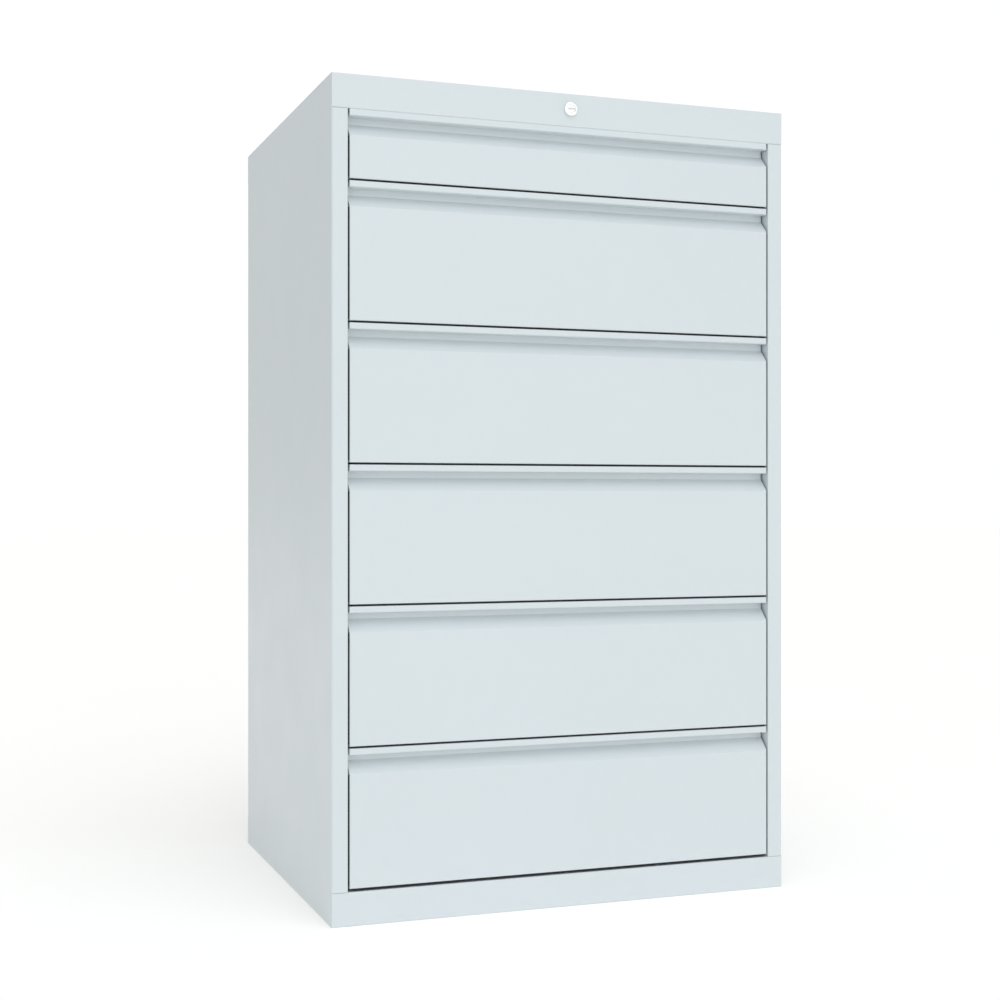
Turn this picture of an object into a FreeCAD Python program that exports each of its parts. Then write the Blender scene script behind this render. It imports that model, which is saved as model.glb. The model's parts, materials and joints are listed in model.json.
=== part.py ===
"""A tall steel cabinet: one shallow drawer over five deep ones, all locked by one lock in the top band.

Millimetres. +Z is up and the drawers open towards -Y. The origin is on the floor, at the centre of the
cabinet's box. Carcass pieces are drawn from the front plane back (y = 0 is the face of the posts) and from
the floor up. Drawer pieces are drawn from the same front plane, and from the bottom edge of their front.
"""

import FreeCAD, Part
import os
import re
from collections import namedtuple

import Sketcher

DRAWERS = 6
STACK = DRAWERS - 1  # the deep drawers, below the shallow one
RIVET_ROWS = 6
SPOT = 1e-5  # places closer than this are one place

SIZES = {
    # carcass
    "cabinet_width": 775,
    "cabinet_depth": 650,
    "sheet_gauge": 1,
    "seam": 0.3,
    "cornice_height": 53,
    "cornice_return": 18,
    "cornice_flange": 20,
    "plinth_height": 52.1,
    "plinth_return": 25,
    "post_width": 25.4,
    "post_return": 25,
    "post_bend": 3,
    "bend": 1.8,
    "rear_flange": 20,
    "base_flange": 15,
    "back_flange": 20,
    # uprights
    "upright_gauge": 1.5,
    "upright_width": 40,
    "upright_foot": 10,
    "upright_clearance": 2,
    "upright_rear_setback": 40,
    "upright_slot_width": 4,
    "upright_slot_height": 12,
    "upright_slot_pitch": 24,
    # drawer fronts
    "small_front_height": 105.7,
    "large_front_height": 213.8,
    "front_depth": 24,
    "drawer_gap": 3,
    "top_gap": 0.4,
    "bottom_gap": 4.8,
    "side_gap": 2.7,
    "lip_height": 10,
    "grip_depth": 20,
    "grip_wall": 10,
    "grip_slope": 20,
    # trays
    "tray_rear_gap": 28,
    "tray_gauge": 1,
    "tray_lift": 6,
    "tray_drop": 14,
    "tray_bend": 2,
    "tray_hem": 8,
    "back_fold": 12,
    # slides
    "slide_setback": 30,
    "slide_rear_gap": 20,
    "slide_centre": 45,
    "slide_thickness": 12.7,
    "slide_height": 45,
    "slide_gauge": 1.2,
    "slide_lip": 2.5,
    "race": 3.7,
    "web_clearance": 1.6,
    "face_clearance": 0.5,
    "screw_radius": 2.4,
    "screw_head_radius": 4.5,
    "screw_head": 1.2,
    "screw_end": 5,
    "screw_fit": 0.2,
    # lock
    "lock_drop": 24.7,
    "lock_across": 4.4,
    "rim_radius": 11.2,
    "rim_thickness": 4,
    "rim_edge": 1.2,
    "barrel_radius": 9,
    "barrel_length": 26,
    "barrel_fit": 0.3,
    "nut_flats": 24,
    "nut_thickness": 4,
    "plug_radius": 6.5,
    "plug_length": 30,
    "plug_recess": 0.3,
    "plug_edge": 0.4,
    "plug_fit": 0.1,
    "key_width": 11,
    "key_height": 2.4,
    "key_depth": 9,
    "rod_radius": 4,
    "crank_disc_radius": 13,
    "crank_thickness": 3,
    "crank_pin_radius": 2.5,
    "crank_pin_play": 0.5,
    "bearing_width": 28,
    "bearing_gauge": 2,
    "bearing_foot": 20,
    "bearing_setback": 22,
    # lock bar
    "bar_width": 20,
    "bar_thickness": 2,
    "bar_standoff": 5,
    "bar_travel": 12,
    "bar_end": 8,
    "finger_width": 12,
    "finger_gauge": 1.5,
    "finger_lip": 9,
    "finger_play": 2,
    "guide_gauge": 1.5,
    "guide_play": 0.5,
    "guide_height": 20,
    "guide_grip": 3,
    "catch_height": 80,
    "catch_width": 16,
    "catch_gauge": 1.5,
    "catch_reach": 12,
    "catch_lip": 8,
    "catch_gap": 0.8,
    # feet and rivets
    "foot_clearance": 8,
    "foot_radius": 15,
    "foot_thickness": 6,
    "stud_radius": 4.9,
    "thread_fit": 0.1,
    "stud_top": 45,
    "bracket_size": 60,
    "bracket_level": 28,
    "bracket_gauge": 3,
    "bracket_drop": 20,
    "rivet_radius": 2.4,
    "rivet_fit": 0.1,
    "rivet_head": 1.4,
    "rivet_head_radius": 4.75,
    "rivet_tail": 2,
    "rivet_tail_radius": 3.2,
    "rivet_margin": 60,
}

# What follows from the sizes.
LAYOUT = {
    "half_width": "cabinet_width / 2",
    "inner_half": "half_width - sheet_gauge",
    "opening_half": "half_width - post_width",
    "front_half": "opening_half - side_gap",
    "tray_half": "opening_half - slide_thickness",
    "drawer_pitch": "large_front_height + drawer_gap",
    "lowest_front": "plinth_height + bottom_gap",
    "bottom_1": f"lowest_front + {STACK} * drawer_pitch",
    "cabinet_height": "bottom_1 + small_front_height + top_gap + cornice_height",
    "post_bottom": "plinth_height + seam",
    "post_top": "cabinet_height - cornice_height - seam",
    "box_depth": "rim_thickness + cabinet_depth + rivet_head",
    "front_plane": "rim_thickness - box_depth / 2",
    "back_inside": "cabinet_depth - 2 * sheet_gauge",
    "base_top": "plinth_height - sheet_gauge",
    "rear_upright": "cabinet_depth - upright_rear_setback - upright_width",
    "front_upright": "plinth_return + upright_clearance + upright_foot - upright_gauge",
    "screw_front": "front_upright + upright_width / 2",
    "screw_rear": "rear_upright + upright_width / 2",
    "slide_end": "cabinet_depth - slide_rear_gap",
    "outer_reach": "slide_thickness - slide_gauge - face_clearance",
    "mid_start": "slide_gauge + web_clearance",
    "mid_half": "slide_height / 2 - slide_gauge - race",
    "inner_start": "mid_start + slide_gauge + web_clearance",
    "inner_half_height": "mid_half - slide_gauge - race",
    "tray_end": "cabinet_depth - tray_rear_gap",
    "lock_level": "cabinet_height - lock_drop",
    "crank_offset": "bar_travel / 2",
    "crank_radius": "crank_offset * sqrt(2)",
    "bar_centre": "(crank_offset + crank_radius) / 2 - lock_across",
    "bar_back": "back_inside - bar_standoff",
    "bar_front": "bar_back - bar_thickness",
    "catch_end": "tray_end + catch_reach",
    "finger_front": "catch_end - catch_gauge - finger_play - finger_gauge",
    "finger_top": "catch_height - catch_gauge - catch_gap - bar_travel",
    "finger_under": "finger_top - finger_lip",
    "crank_back": "bar_front - finger_play * 2",
    "crank_front": "crank_back - crank_thickness",
    "bearing_back": "back_inside - bearing_setback + bearing_gauge",
    "foot_across": "inner_half - bracket_gauge - foot_clearance - foot_radius",
    "foot_depth": "plinth_return + foot_clearance + foot_radius",
    "rivet_across": "half_width - rear_flange / 2",
    "rivet_lowest": "plinth_height + rivet_margin",
    "rivet_pitch": f"(post_top - rivet_margin - rivet_lowest) / {RIVET_ROWS - 1}",
}
for below in range(2, DRAWERS + 1):
    LAYOUT[f"bottom_{below}"] = f"lowest_front + {DRAWERS - below} * drawer_pitch"

# For each sweep axis: the origin plane to draw on, and the two coordinates square to the axis.
PLANES = {"x": "YZ_Plane", "y": "XZ_Plane", "z": "XY_Plane"}
ACROSS = {"x": "yz", "y": "xz", "z": "xy"}

FORWARD = FreeCAD.Vector(0, -1, 0)
REARWARD = FreeCAD.Vector(0, 1, 0)
UPWARD = FreeCAD.Vector(0, 0, 1)

Ring = namedtuple("Ring", "across up radius")

doc = FreeCAD.newDocument("drawer_cabinet")
cells = {}


def linked(text):
    """The expression with each size's name written as its cell."""
    return re.sub(r"[a-z]\w*", lambda found: cells.get(found[0], found[0]), str(text))


def add_sheet(name, values):
    """A sheet with a name and a value on each row, the value a number or a formula."""
    sheet = doc.addObject("Spreadsheet::Sheet", name)
    for line, (alias, value) in enumerate(values.items(), 1):
        content = str(value)
        if isinstance(value, str):
            content = "=" + linked(value).replace(f"{name}.", "")
        sheet.set(f"A{line}", alias)
        sheet.set(f"B{line}", content)
        sheet.setAlias(f"B{line}", alias)
        cells[alias] = f"{name}.{alias}"
    doc.recompute()
    return sheet


add_sheet("Sizes", SIZES)
layout = add_sheet("Layout", LAYOUT)


def number(text):
    """What an expression of the sizes comes to."""
    return float(layout.evalExpression(linked(text)))


def new_body(name, level="0"):
    """An empty sub-part, placed at the front plane and at its own level."""
    body = doc.addObject("PartDesign::Body", name)
    body.Label = name
    body.setExpression("Placement.Base.y", linked("front_plane"))
    body.setExpression("Placement.Base.z", linked(level))
    return body


def origin_feature(body, role):
    """One of the body's own origin planes or axes."""
    return next(feature for feature in body.Origin.OriginFeatures if feature.Role == role)


def along_normal(axis):
    """Whether the plane square to an axis has its normal along that axis, not against it."""
    return axis != "y"


def fix(sketch, kind, geometry, point, text):
    """One constraint of a sketch, bound to the sizes."""
    value = number(text)
    parts = (kind, geometry, value) if point is None else (kind, geometry, point, value)
    index = sketch.addConstraint(Sketcher.Constraint(*parts))
    if re.search("[a-z]", text):
        sketch.setExpression(f"Constraints[{index}]", linked(text))


def draw(body, name, axis, outlines, start):
    """A sketch square to an axis: rings, and outlines of straight lines given by their corners."""
    sketch = body.newObject("Sketcher::SketchObject", name)
    sketch.AttachmentSupport = (origin_feature(body, PLANES[axis]), [""])
    sketch.MapMode = "FlatFace"
    offset = f"({start})" if along_normal(axis) else f"-({start})"
    sketch.setExpression("AttachmentOffset.Base.z", linked(offset))
    for outline in outlines:
        first = sketch.GeometryCount
        if isinstance(outline, Ring):
            centre = FreeCAD.Vector(number(outline.across), number(outline.up), 0)
            sketch.addGeometry(Part.Circle(centre, FreeCAD.Vector(0, 0, 1), number(outline.radius)), False)
            fix(sketch, "DistanceX", first, 3, outline.across)
            fix(sketch, "DistanceY", first, 3, outline.up)
            fix(sketch, "Radius", first, None, outline.radius)
            continue
        corners = [FreeCAD.Vector(number(across), number(up), 0) for across, up in outline]
        following = corners[1:] + corners[:1]
        sketch.addGeometry([Part.LineSegment(*ends) for ends in zip(corners, following)], False)
        last = len(outline) - 1
        for index in range(len(outline)):
            after = 0 if index == last else index + 1
            sketch.addConstraint(Sketcher.Constraint("Coincident", first + index, 2, first + after, 1))
        for index, (across, up) in enumerate(outline):
            fix(sketch, "DistanceX", first + index, 1, across)
            fix(sketch, "DistanceY", first + index, 1, up)
    return sketch


def sweep(body, name, axis, outlines, start, end, cutting=False):
    """Adds or cuts what the outlines sweep along an axis, from start to end."""
    before = body.Shape.Volume if cutting else 0
    sketch = draw(body, f"{name}_sketch", axis, outlines, start)
    feature = body.newObject("PartDesign::Pocket" if cutting else "PartDesign::Pad", name)
    feature.Profile = sketch
    feature.setExpression("Length", linked(f"({end}) - ({start})"))
    feature.Reversed = cutting == along_normal(axis)
    doc.recompute()
    if cutting and body.Shape.Volume >= before:
        raise ValueError(f"{body.Name}: {name} cuts nothing")
    return feature


def cut(body, name, axis, outlines, start, end):
    """Cuts what the outlines sweep along an axis, from start to end."""
    return sweep(body, name, axis, outlines, start, end, cutting=True)


def rectangle(left, right, low, high):
    """The corners of a rectangle."""
    return [(left, low), (right, low), (right, high), (left, high)]


def mirrored(outline):
    """The same outline on the other side of x = 0."""
    return [(f"-({across})", up) for across, up in outline]


def both_sides(outline):
    """An outline and its mirror image."""
    return [outline, mirrored(outline)]


def edges_along(feature, axis, places):
    """Names of a feature's straight edges along an axis that lie at one of the places."""
    wanted = [(number(first), number(second)) for first, second in places]
    names = []
    for index, edge in enumerate(feature.Shape.Edges, 1):
        ends = [[getattr(vertex.Point, across) for across in ACROSS[axis]] for vertex in edge.Vertexes]
        if len(ends) != 2:
            continue
        for first, second in wanted:
            if all(abs(one - first) < SPOT and abs(other - second) < SPOT for one, other in ends):
                names.append(f"Edge{index}")
    return names


def round_edges(body, name, radius, **places):
    """Rounds the edges that lie along each named axis at the places given for it."""
    base = body.Tip
    names = []
    for axis, spots in places.items():
        names += edges_along(base, axis, spots)
    fillet = body.newObject("PartDesign::Fillet", name)
    fillet.Base = (base, names)
    fillet.setExpression("Radius", linked(radius))
    doc.recompute()
    return fillet


def round_rim(body, name, radius, level):
    """Rounds the circular edge that lies at one depth."""
    base = body.Tip
    rims = []
    for index, edge in enumerate(base.Shape.Edges, 1):
        points = [edge.valueAt(edge.FirstParameter), edge.valueAt(edge.LastParameter)]
        if all(abs(point.y - number(level)) < SPOT for point in points) and edge.Closed:
            rims.append((edge.BoundBox.XLength, f"Edge{index}"))
    fillet = body.newObject("PartDesign::Fillet", name)
    fillet.Base = (base, [max(rims)[1]])
    fillet.setExpression("Radius", linked(radius))
    doc.recompute()
    return fillet


def shell(body, name, gauge, *open_sides):
    """Hollows a solid to a sheet of one gauge, left open at its outermost faces on these sides."""
    base = body.Tip
    box = base.Shape.BoundBox
    reach = FreeCAD.Vector(box.XLength, box.YLength, box.ZLength) / 2
    open_faces = []
    for index, face in enumerate(base.Shape.Faces, 1):
        for side in open_sides:
            outermost = (face.BoundBox.Center - box.Center).dot(side) - abs(reach.dot(side))
            if face.normalAt(0, 0).isEqual(side, SPOT) and abs(outermost) < SPOT:
                open_faces.append(f"Face{index}")
    hollow = body.newObject("PartDesign::Thickness", name)
    hollow.Base = (base, open_faces)
    hollow.setExpression("Value", linked(gauge))
    hollow.Reversed = True
    doc.recompute()
    return hollow


def mirror(body, originals):
    """Repeats features on the other side of x = 0."""
    copy = body.newObject("PartDesign::Mirrored", "pair")
    copy.Originals = originals
    copy.MirrorPlane = (origin_feature(body, "YZ_Plane"), [""])
    body.Tip = copy
    doc.recompute()
    return copy


def row(body, name, originals, pitch, count):
    """Repeats features up the height at an even pitch."""
    copies = body.newObject("PartDesign::LinearPattern", name)
    copies.Originals = originals
    copies.Direction = (origin_feature(body, "Z_Axis"), [""])
    copies.setExpression("Length", linked(f"{count - 1} * ({pitch})"))
    copies.Occurrences = count
    body.Tip = copies
    doc.recompute()
    return copies


def on_side(side, outline):
    """An outline drawn for the right side, put on the left (-1) or the right (1)."""
    return outline if side > 0 else mirrored(outline)


def side_panel(name, side):
    """Side skin with the front post and the rear flange folded on it between plinth and cornice."""
    body = new_body(name)
    post_inside = "opening_half + sheet_gauge"
    folds = [
        ("half_width", "0"),
        ("opening_half", "0"),
        ("opening_half", "post_return"),
        (post_inside, "post_return"),
        (post_inside, "sheet_gauge"),
        ("inner_half", "sheet_gauge"),
        ("inner_half", "cabinet_depth - sheet_gauge"),
        ("half_width - rear_flange", "cabinet_depth - sheet_gauge"),
        ("half_width - rear_flange", "cabinet_depth"),
        ("half_width", "cabinet_depth"),
    ]
    sweep(body, "folds", "z", [on_side(side, folds)], "post_bottom", "post_top")
    corner = on_side(side, [("half_width", "0")])
    corner_inside = on_side(side, [("inner_half", "sheet_gauge")])
    round_edges(body, "post_bend", "post_bend", z=corner)
    round_edges(body, "post_hollow", "post_bend - sheet_gauge", z=corner_inside)
    outer = [("opening_half", "0"), ("half_width", "cabinet_depth")]
    inner = [(post_inside, "sheet_gauge"), ("inner_half", "cabinet_depth - sheet_gauge")]
    round_edges(body, "bends", "bend", z=on_side(side, outer))
    round_edges(body, "hollows", "bend - sheet_gauge", z=on_side(side, inner))
    skin = rectangle("inner_half", "half_width", "sheet_gauge + seam", "cabinet_depth - sheet_gauge - seam")
    sweep(body, "skin", "z", [on_side(side, skin)], "0", "cabinet_height - sheet_gauge - seam")
    hole = [Ring(f"{side} * rivet_across", "rivet_lowest", "rivet_radius + rivet_fit")]
    bore = cut(body, "rivet_hole", "y", hole, "cabinet_depth - 2 * sheet_gauge", "cabinet_depth + seam")
    row(body, "rivet_holes", [bore], "rivet_pitch", RIVET_ROWS)


def return_ends(depth_start, depth_end):
    """What is cut from both ends of a folded return, to clear the side skins."""
    return both_sides(rectangle("inner_half", "half_width + sheet_gauge", depth_start, depth_end))


def top_panel():
    """Top skin with the cornice folded down in front, and flanges behind and at the sides."""
    body = new_body("top_panel")
    low = "cabinet_height - cornice_height"
    profile = [
        ("0", "cabinet_height"),
        ("0", low),
        ("cornice_return", low),
        ("cornice_return", f"{low} + sheet_gauge"),
        ("sheet_gauge", f"{low} + sheet_gauge"),
        ("sheet_gauge", "cabinet_height - sheet_gauge"),
        ("cabinet_depth - sheet_gauge", "cabinet_height - sheet_gauge"),
        ("cabinet_depth - sheet_gauge", low),
        ("cabinet_depth", low),
        ("cabinet_depth", "cabinet_height"),
    ]
    sweep(body, "folds", "x", [profile], "-half_width", "half_width")
    outer = [("0", "cabinet_height"), ("0", low), ("cabinet_depth", "cabinet_height")]
    inner = [
        ("sheet_gauge", "cabinet_height - sheet_gauge"),
        ("sheet_gauge", f"{low} + sheet_gauge"),
        ("cabinet_depth - sheet_gauge", "cabinet_height - sheet_gauge"),
    ]
    round_edges(body, "bends", "bend", x=outer)
    round_edges(body, "hollows", "bend - sheet_gauge", x=inner)
    ends = return_ends("sheet_gauge", "cornice_return + seam")
    cut(body, "return_ends", "z", ends, f"{low} - seam", f"{low} + bend + seam")
    flange = rectangle("inner_half - sheet_gauge", "inner_half", "cornice_return + bend",
                       "back_inside - back_flange - bend")
    sweep(body, "side_flanges", "z", both_sides(flange), "cabinet_height - cornice_flange",
          "cabinet_height - sheet_gauge")
    hole = [Ring("lock_across", "lock_level", "barrel_radius + barrel_fit")]
    cut(body, "lock_hole", "y", hole, "-seam", "bend")


def lock_rail():
    """Channel that closes the cornice from behind and stiffens it round the lock."""
    body = new_body("lock_rail")
    low = "cabinet_height - cornice_height + sheet_gauge"
    high = "cabinet_height - sheet_gauge"
    front = "bend + seam"
    back = "cornice_return"
    profile = [
        (front, low),
        (back, low),
        (back, high),
        (front, high),
        (front, f"{high} - sheet_gauge"),
        (f"{back} - sheet_gauge", f"{high} - sheet_gauge"),
        (f"{back} - sheet_gauge", f"{low} + sheet_gauge"),
        (front, f"{low} + sheet_gauge"),
    ]
    sweep(body, "channel", "x", [profile], "-inner_half", "inner_half")
    round_edges(body, "bends", "bend", x=[(back, low), (back, high)])
    hole = [Ring("lock_across", "lock_level", "barrel_radius + barrel_fit")]
    cut(body, "lock_hole", "y", hole, f"{back} - 2 * sheet_gauge", f"{back} + seam")


def plinth(name, behind):
    """Plinth channel: its face, and the returns at its top and its foot."""
    body = new_body(name)
    outline = [
        ("0", "0"),
        ("plinth_return", "0"),
        ("plinth_return", "sheet_gauge"),
        ("sheet_gauge", "sheet_gauge"),
        ("sheet_gauge", "plinth_height - sheet_gauge"),
        ("plinth_return", "plinth_height - sheet_gauge"),
        ("plinth_return", "plinth_height"),
        ("0", "plinth_height"),
    ]
    outer = [("0", "0"), ("0", "plinth_height")]
    inner = [("sheet_gauge", "sheet_gauge"), ("sheet_gauge", "plinth_height - sheet_gauge")]
    ends = ["sheet_gauge", "plinth_return + seam"]
    if behind:
        outline, outer, inner = ([(f"cabinet_depth - ({depth})", up) for depth, up in points]
                                 for points in (outline, outer, inner))
        ends = [f"cabinet_depth - ({end})" for end in reversed(ends)]
    sweep(body, "channel", "x", [outline], "-half_width", "half_width")
    round_edges(body, "bends", "bend", x=outer)
    round_edges(body, "hollows", "bend - sheet_gauge", x=inner)
    cut(body, "return_ends", "z", return_ends(*ends), "-seam", "plinth_height + seam")


def base_panel():
    """Floor of the carcass, under the returns of the plinths, with a flange down each side."""
    body = new_body("base_panel")
    low = "base_top - sheet_gauge"
    profile = [
        ("-inner_half", "base_top"),
        ("-inner_half", f"{low} - base_flange"),
        ("-inner_half + sheet_gauge", f"{low} - base_flange"),
        ("-inner_half + sheet_gauge", low),
        ("inner_half - sheet_gauge", low),
        ("inner_half - sheet_gauge", f"{low} - base_flange"),
        ("inner_half", f"{low} - base_flange"),
        ("inner_half", "base_top"),
    ]
    sweep(body, "folds", "y", [profile], "bend + seam", "cabinet_depth - bend - seam")
    round_edges(body, "bends", "bend", y=[("-inner_half", "base_top"), ("inner_half", "base_top")])


def back_panel():
    """Back sheet, riveted inside the rear flanges of the side panels."""
    body = new_body("back_panel")
    web = "back_inside + sheet_gauge"
    front = "back_inside - back_flange"
    high = "cabinet_height - sheet_gauge"
    profile = [
        (web, "plinth_height"),
        (web, high),
        (front, high),
        (front, f"{high} - sheet_gauge"),
        ("back_inside", f"{high} - sheet_gauge"),
        ("back_inside", "plinth_height + sheet_gauge"),
        (front, "plinth_height + sheet_gauge"),
        (front, "plinth_height"),
    ]
    sweep(body, "folds", "x", [profile], "bend - inner_half", "inner_half - bend")
    round_edges(body, "bends", "bend", x=[(web, "plinth_height"), (web, high)])
    holes = [Ring(f"{side} * rivet_across", "rivet_lowest", "rivet_radius + rivet_fit") for side in (-1, 1)]
    bores = cut(body, "rivet_hole", "y", holes, "back_inside - seam", f"{web} + seam")
    row(body, "rivet_holes", [bores], "rivet_pitch", RIVET_ROWS)


def back_rivets():
    """Blind rivets through the rear flanges and the back sheet: head, shank and tail."""
    body = new_body("back_rivets")
    sides = [f"{side} * rivet_across" for side in (-1, 1)]

    def rings(radius):
        return [Ring(across, "rivet_lowest", radius) for across in sides]

    tail = sweep(body, "tail", "y", rings("rivet_tail_radius"), "back_inside - rivet_tail", "back_inside")
    shank = sweep(body, "shank", "y", rings("rivet_radius"), "back_inside", "cabinet_depth")
    head = sweep(body, "head", "y", rings("rivet_head_radius"), "cabinet_depth",
                 "cabinet_depth + rivet_head")
    row(body, "rivets", [tail, shank, head], "rivet_pitch", RIVET_ROWS)


def upright(name, side, front):
    """Hat section welded inside the side skin, punched for the slides of every drawer."""
    body = new_body(name)
    back = f"{front} + upright_width"
    skin = "inner_half"
    foot = "inner_half - upright_gauge"
    web = "opening_half + upright_gauge"
    outline = [
        ("opening_half", front),
        ("opening_half", back),
        (foot, back),
        (foot, f"{back} + upright_foot"),
        (skin, f"{back} + upright_foot"),
        (skin, f"{back} - upright_gauge"),
        (web, f"{back} - upright_gauge"),
        (web, f"{front} + upright_gauge"),
        (skin, f"{front} + upright_gauge"),
        (skin, f"{front} - upright_foot + upright_gauge"),
        (foot, f"{front} - upright_foot + upright_gauge"),
        (foot, front),
    ]
    sweep(body, "hat", "z", [on_side(side, outline)], "base_top", "post_top")
    round_edges(body, "bends", "bend", z=on_side(side, [("opening_half", front), ("opening_half", back)]))
    centre = f"{front} + upright_width / 2"
    level = "lowest_front + slide_centre"
    punched = [Ring(centre, level, "screw_radius + screw_fit")]
    for step in (-3, -2, -1, 1, 2, 3):
        middle = f"{level} + {step} * upright_slot_pitch"
        punched.append(rectangle(f"{centre} - upright_slot_width / 2", f"{centre} + upright_slot_width / 2",
                                 f"{middle} - upright_slot_height / 2",
                                 f"{middle} + upright_slot_height / 2"))
    inside, outside = "opening_half - seam", "opening_half + upright_gauge + seam"
    if side < 0:
        inside, outside = f"-({outside})", f"-({inside})"
    holes = cut(body, "punching", "x", punched, inside, outside)
    row(body, "punched_rows", [holes], "drawer_pitch", DRAWERS)


def foot_places():
    """Centres of the four feet."""
    return [(f"{side} * foot_across", depth)
            for side in (-1, 1) for depth in ("foot_depth", "cabinet_depth - foot_depth")]


def levelling_feet():
    """Four feet inside the plinth, wound fully in: a round pad with its stud."""
    body = new_body("levelling_feet")
    pads = [Ring(across, depth, "foot_radius") for across, depth in foot_places()]
    studs = [Ring(across, depth, "stud_radius") for across, depth in foot_places()]
    sweep(body, "pads", "z", pads, "0", "foot_thickness")
    sweep(body, "studs", "z", studs, "foot_thickness", "stud_top")


def foot_brackets():
    """Angle in each corner of the plinth, with the threaded hole for a foot."""
    body = new_body("foot_brackets")
    shelves, flanges = [], []
    for front, back in (("sheet_gauge", "sheet_gauge + bracket_size"),
                        ("cabinet_depth - sheet_gauge - bracket_size", "cabinet_depth - sheet_gauge")):
        shelves += both_sides(rectangle("inner_half - bracket_size", "inner_half", front, back))
        flanges += both_sides(rectangle("inner_half - bracket_gauge", "inner_half", front, back))
    sweep(body, "shelves", "z", shelves, "bracket_level", "bracket_level + bracket_gauge")
    sweep(body, "flanges", "z", flanges, "bracket_level - bracket_drop", "bracket_level + bracket_gauge")
    holes = [Ring(across, depth, "stud_radius + thread_fit") for across, depth in foot_places()]
    cut(body, "stud_holes", "z", holes, "bracket_level - seam", "bracket_level + bracket_gauge + seam")


def slide_section(points):
    """Turns points (in from the upright, up from the slide's centre) into both sides' outlines."""
    outline = [(f"opening_half - ({inward})", f"slide_centre + ({up})") for inward, up in points]
    return both_sides(outline)


def channel(web, tip, half, lipped):
    """Section of a slide member: its web, its flanges up to the tip, and lips turned in at their edges."""
    away = 1 if lipped else -1  # the inner member opens towards the cabinet's wall, the others away from it
    upper = [(web, half), (tip, half)]
    if lipped:
        edge = f"{half} - slide_gauge - slide_lip"
        upper += [(tip, edge), (f"{tip} - slide_gauge", edge)]
        upper += [(f"{tip} - slide_gauge", f"{half} - slide_gauge")]
    else:
        upper += [(tip, f"{half} - slide_gauge")]
    upper += [(f"{web} + {away} * slide_gauge", f"{half} - slide_gauge")]
    lower = [(inward, f"-({up})") for inward, up in reversed(upper)]
    return upper + lower


def slide_member(name, drawer, web, tip, half, lipped):
    """One member of both telescopic slides of a drawer."""
    body = new_body(name, f"bottom_{drawer}")
    sweep(body, "section", "y", slide_section(channel(web, tip, half, lipped)), "slide_setback", "slide_end")
    return body


def slide_outer(drawer):
    """Outer members, screwed to the uprights."""
    body = slide_member(f"slide_outer_{drawer}", drawer, "0", "outer_reach", "(slide_height / 2)", True)
    places = ("screw_front", "screw_rear")
    holes = [Ring(depth, "slide_centre", "screw_radius + screw_fit") for depth in places]
    for name, start, end in (("right_holes", "opening_half - slide_gauge - seam", "opening_half + seam"),
                             ("left_holes", "-opening_half - seam", "-opening_half + slide_gauge + seam")):
        cut(body, name, "x", holes, start, end)


def slide_screws():
    """Low-headed screws through the outer members and the uprights."""
    body = new_body("slide_screws")
    places = [(depth, f"bottom_{drawer} + slide_centre")
              for drawer in range(1, DRAWERS + 1) for depth in ("screw_front", "screw_rear")]
    web = "opening_half - slide_gauge"
    heads = [Ring(depth, level, "screw_head_radius") for depth, level in places]
    shanks = [Ring(depth, level, "screw_radius") for depth, level in places]
    head = sweep(body, "heads", "x", heads, f"{web} - screw_head", web)
    shank = sweep(body, "shanks", "x", shanks, web, "opening_half + screw_end")
    mirror(body, [head, shank])


def drawer_front(drawer, height):
    """Folded drawer front: lip and finger recess along its top edge, and returns at its sides and foot."""
    body = new_body(f"drawer_front_{drawer}", f"bottom_{drawer}")
    lip = f"{height} - lip_height"
    wall = f"{lip} - grip_wall"
    slope = f"{wall} - grip_slope"
    profile = [
        ("0", "0"),
        ("0", slope),
        ("grip_depth", wall),
        ("grip_depth", lip),
        ("0", lip),
        ("0", height),
        ("front_depth", height),
        ("front_depth", "0"),
    ]
    sweep(body, "block", "x", [profile], "-front_half", "front_half")
    round_edges(body, "bends", "bend", x=[("0", "0"), ("0", slope), ("0", lip), ("0", height)],
                z=[("-front_half", "0"), ("front_half", "0")])
    round_edges(body, "recess_bends", "bend - sheet_gauge", x=[("grip_depth", wall), ("grip_depth", lip)])
    shell(body, "sheet", "sheet_gauge", REARWARD)


def drawer_tray(drawer, height):
    """Floor, sides and inner front of a drawer, folded from one sheet, its side edges hemmed inwards."""
    body = new_body(f"drawer_tray_{drawer}", f"bottom_{drawer}")
    top = f"{height} - tray_drop"
    outline = rectangle("-tray_half", "tray_half", "front_depth", "tray_end")
    sweep(body, "block", "z", [outline], "tray_lift", top)
    round_edges(body, "side_bends", "tray_bend", y=[("-tray_half", "tray_lift"), ("tray_half", "tray_lift")])
    shell(body, "sheet", "tray_gauge", UPWARD, REARWARD)
    hem = rectangle("tray_half - tray_hem", "tray_half", "front_depth", "tray_end")
    sweep(body, "hems", "z", both_sides(hem), f"{top} - tray_gauge", top)
    edges = [("-tray_half", top), ("tray_half", top)]
    round_edges(body, "hem_bends", "tray_bend - tray_gauge", y=edges)


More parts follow.
